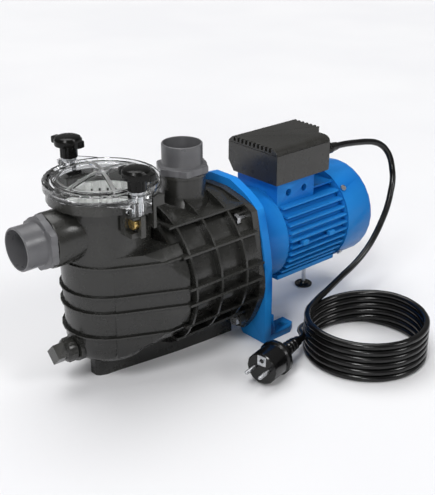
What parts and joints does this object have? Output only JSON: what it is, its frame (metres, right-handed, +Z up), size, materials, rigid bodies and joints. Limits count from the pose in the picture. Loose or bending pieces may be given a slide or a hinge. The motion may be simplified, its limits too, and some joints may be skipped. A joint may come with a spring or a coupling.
{
  "type": "pool pump",
  "caption": "Self-priming pool pump: strainer pot with clear lid and hand screws, ribbed barrel, upright discharge port, fan-cooled motor, terminal box and coiled mains cord.",
  "frame": {"origin": "on the floor, midway between the suction mouth and the end of the fan cover, in the plane of the motor axis", "axes": "+X from the suction port to the fan cover, +Z up, -Y to the side where the cord lies"},
  "size_m": [0.5691, 0.3526, 0.2785],
  "materials": {
    "black_plastic": "satin, injection moulded",
    "gloss_black": "semi-gloss",
    "grey_plastic": "satin",
    "clear_plastic": "clear moulded",
    "blue_paint": "gloss paint",
    "box_plastic": "satin",
    "rubber": "matt",
    "pale_plastic": "satin",
    "steel": "zinc plated",
    "brass": "machined",
    "cast_iron": "laminated or cast",
    "copper": "enamelled copper wire",
    "ceramic": "ground ceramic"
  },
  "bodies": {
    "pump": {"pump_body": "black_plastic", "diffuser": "black_plastic", "cable_gland": "gloss_black", "suction_adapter": "grey_plastic", "discharge_adapter": "grey_plastic", "capacitor": "grey_plastic", "motor_bracket": "blue_paint", "motor_housing": "blue_paint", "rear_end_shield": "blue_paint", "fan_cover": "blue_paint", "terminal_box_base": "box_plastic", "terminal_box_lid": "box_plastic", "suction_gasket": "rubber", "discharge_gasket": "rubber", "body_oring": "rubber", "rear_foot": "rubber", "power_cord_tube": "rubber", "power_cord_coil": "rubber", "plug_body": "rubber", "terminal_block": "pale_plastic", "body_bolt_top_near": "steel", "body_bolt_top_far": "steel", "body_bolt_bottom_near": "steel", "body_bolt_bottom_far": "steel", "body_nut_top_near": "steel", "body_nut_top_far": "steel", "body_nut_bottom_near": "steel", "body_nut_bottom_far": "steel", "bearing_front": "steel", "bearing_rear": "steel", "fan_cover_screw_1": "steel", "fan_cover_screw_2": "steel", "fan_cover_screw_3": "steel", "fan_cover_screw_4": "steel", "rear_foot_bolt": "steel", "plug_pin_line": "steel", "plug_pin_neutral": "steel", "plug_earth_contact": "steel", "brass_nut_near": "brass", "brass_nut_far": "brass", "stator_core": "cast_iron", "stator_winding": "copper", "seal_seat": "ceramic"},
    "lid": {"strainer_lid": "clear_plastic", "lid_oring": "rubber"},
    "basket": {"strainer_basket": "pale_plastic"},
    "basket_bail": {"basket_handle": "pale_plastic"},
    "near_washer": {"hand_washer_near": "steel"},
    "near_knob": {"hand_knob_near": "gloss_black", "hand_stud_near": "steel"},
    "far_washer": {"hand_washer_far": "steel"},
    "far_knob": {"hand_knob_far": "gloss_black", "hand_stud_far": "steel"},
    "drain_seal": {"drain_oring": "rubber"},
    "drain_screw": {"drain_plug": "black_plastic"},
    "rotor": {"impeller": "black_plastic", "seal_head": "steel", "rotor_core": "cast_iron", "rotor_shaft": "steel", "cooling_fan": "black_plastic"}
  },
  "joints": [
    {"name": "rotor_spin", "type": "hinge", "parent": "pump", "child": "rotor", "pos_m": [0, 0, 0.111], "axis": [1, 0, 0], "continuous": true},
    {"name": "lid_lift", "type": "slide", "parent": "pump", "child": "lid", "axis": [0, 0, 1], "range_m": [0, 0.24]},
    {"name": "basket_lift", "type": "slide", "parent": "pump", "child": "basket", "axis": [0, 0, 1], "range_m": [0, 0.192]},
    {"name": "bail_swing", "type": "hinge", "parent": "basket", "child": "basket_bail", "pos_m": [-0.145, 0, 0.2288], "axis": [0, 1, 0], "range_deg": [0, 90]},
    {"name": "near_screw_travel", "type": "slide", "parent": "lid", "child": "near_washer", "axis": [0, 0, 1], "range_m": [0, 0.0175]},
    {"name": "near_screw_turn", "type": "hinge", "parent": "near_washer", "child": "near_knob", "pos_m": [-0.1486, -0.0712, 0.26], "axis": [0, 0, 1], "range_deg": [0, 5040]},
    {"name": "far_screw_travel", "type": "slide", "parent": "lid", "child": "far_washer", "axis": [0, 0, 1], "range_m": [0, 0.0175]},
    {"name": "far_screw_turn", "type": "hinge", "parent": "far_washer", "child": "far_knob", "pos_m": [-0.1414, 0.0712, 0.26], "axis": [0, 0, 1], "range_deg": [0, 5040]},
    {"name": "drain_travel", "type": "slide", "parent": "pump", "child": "drain_seal", "axis": [-1, 0, 0], "range_m": [0, 0.009]},
    {"name": "drain_turn", "type": "hinge", "parent": "drain_seal", "child": "drain_screw", "pos_m": [-0.21, 0, 0.0465], "axis": [-1, 0, 0], "range_deg": [0, 2160]}
  ],
  "couplings": [
    {"joint": "basket_lift", "follows": "lid_lift", "ratio": 0.8},
    {"joint": "bail_swing", "follows": "lid_lift", "rad_per_m": 6.54},
    {"joint": "near_screw_travel", "follows": "near_screw_turn", "m_per_rad": 0.00019894},
    {"joint": "far_screw_travel", "follows": "far_screw_turn", "m_per_rad": 0.00019894},
    {"joint": "drain_travel", "follows": "drain_turn", "m_per_rad": 0.00023873}
  ]
}
